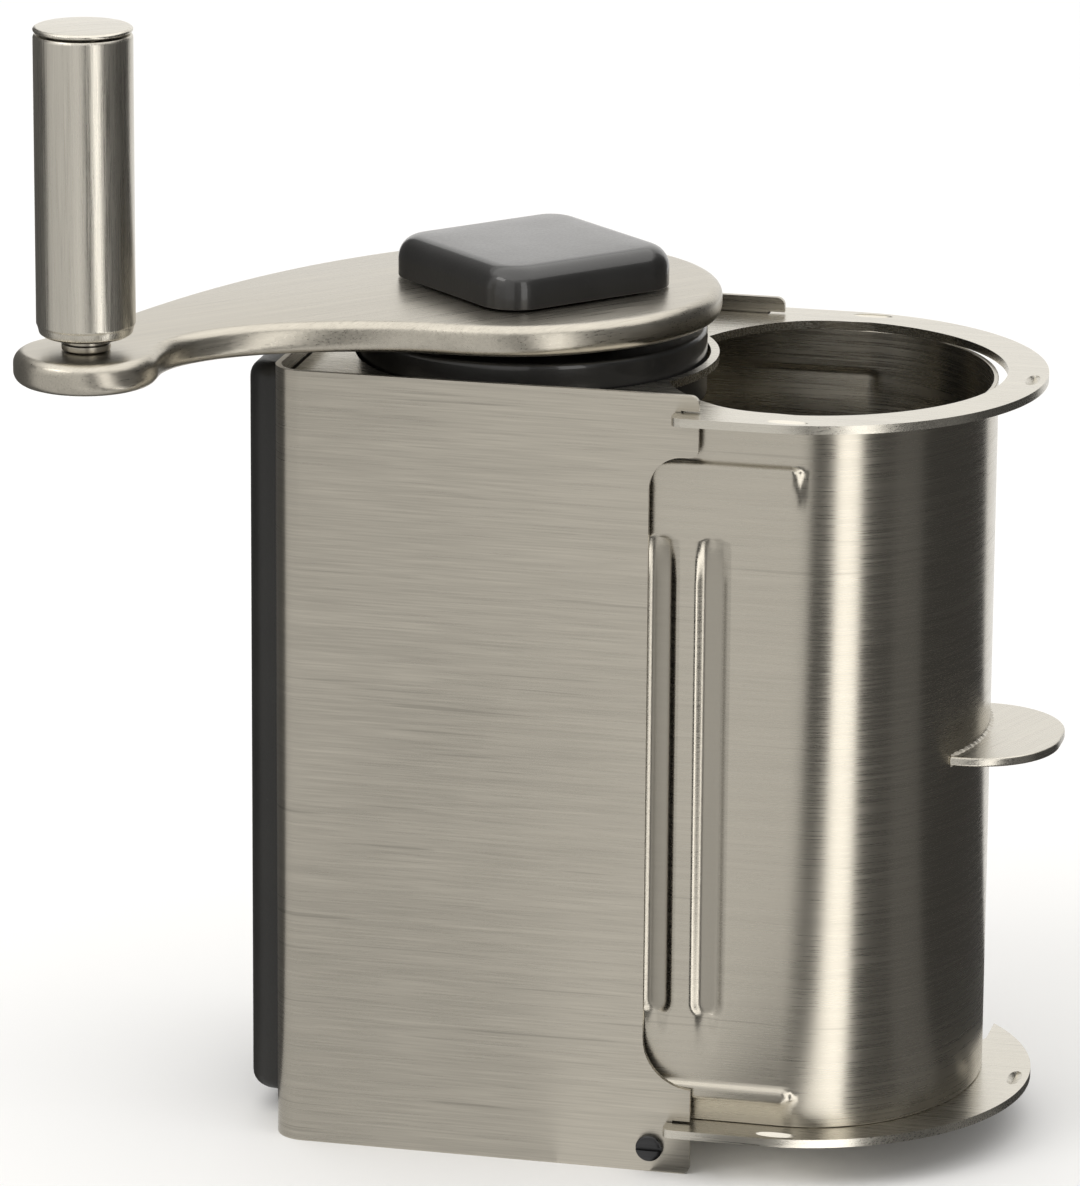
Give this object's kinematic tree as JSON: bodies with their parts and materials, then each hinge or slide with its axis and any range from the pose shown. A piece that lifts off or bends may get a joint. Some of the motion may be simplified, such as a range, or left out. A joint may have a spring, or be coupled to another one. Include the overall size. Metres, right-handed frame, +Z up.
{
  "type": "rotary cheese grater",
  "caption": "Hand-cranked drum grater: bent steel body, stamped plates, sliding U-shaped pusher with finger tab, black palm grip and crank with a turning handle.",
  "frame": {"origin": "centre of the object's box at the surface that the body's lower rim stands on", "axes": "+Z up along the drum and the handle; +X from the drum to the food opening; -Y the side plate with the free front"},
  "size_m": [0.1364, 0.0978, 0.1651],
  "materials": {
    "body_steel": "satin, brushed along the plate",
    "plate_steel": "satin stamped sheet",
    "pusher_steel": "satin, brushed along the height of the round end",
    "drum_steel": "bright etched sheet",
    "arm_steel": "satin with rounded polished edges",
    "knob_steel": "turned, fine rings round the handle",
    "fastener_steel": "turned",
    "black_screw": "black, semi-gloss",
    "grip_plastic": "black, moulded satin",
    "cap_plastic": "black, moulded semi-gloss",
    "bush_plastic": "natural acetal"
  },
  "bodies": {
    "frame": {"body_shell": "body_steel", "top_plate": "plate_steel", "bottom_plate": "plate_steel", "palm_grip": "grip_plastic", "grip_screw_lower": "fastener_steel", "grip_screw_upper": "fastener_steel", "tie_bar": "fastener_steel", "tie_screw_front": "black_screw", "tie_screw_rear": "black_screw"},
    "slide": {"pusher": "pusher_steel", "finger_tab": "pusher_steel"},
    "crank": {"grating_drum": "drum_steel", "drum_bottom_ring": "cap_plastic", "drum_top_cap": "cap_plastic", "hub_washer": "fastener_steel", "hub_screw": "fastener_steel", "drive_post": "fastener_steel", "crank_arm": "arm_steel", "crank_cap": "cap_plastic", "knob_spindle": "fastener_steel", "knob_washer": "fastener_steel", "knob_axle_screw": "fastener_steel"},
    "handle": {"knob_sleeve": "knob_steel", "knob_top_cap": "knob_steel", "knob_bush_lower": "bush_plastic", "knob_bush_upper": "bush_plastic"}
  },
  "joints": [
    {"name": "crank_turn", "type": "hinge", "parent": "frame", "child": "crank", "pos_m": [-0.00881, 0.01544, 0.1182], "axis": [0, 0, 1], "continuous": true},
    {"name": "handle_spin", "type": "hinge", "parent": "crank", "child": "handle", "pos_m": [-0.05823, -0.03897, 0.143], "axis": [0, 0, 1], "continuous": true},
    {"name": "pusher_slide", "type": "slide", "parent": "frame", "child": "slide", "axis": [1, 0, 0], "range_m": [-0.038, 0.0015]}
  ]
}
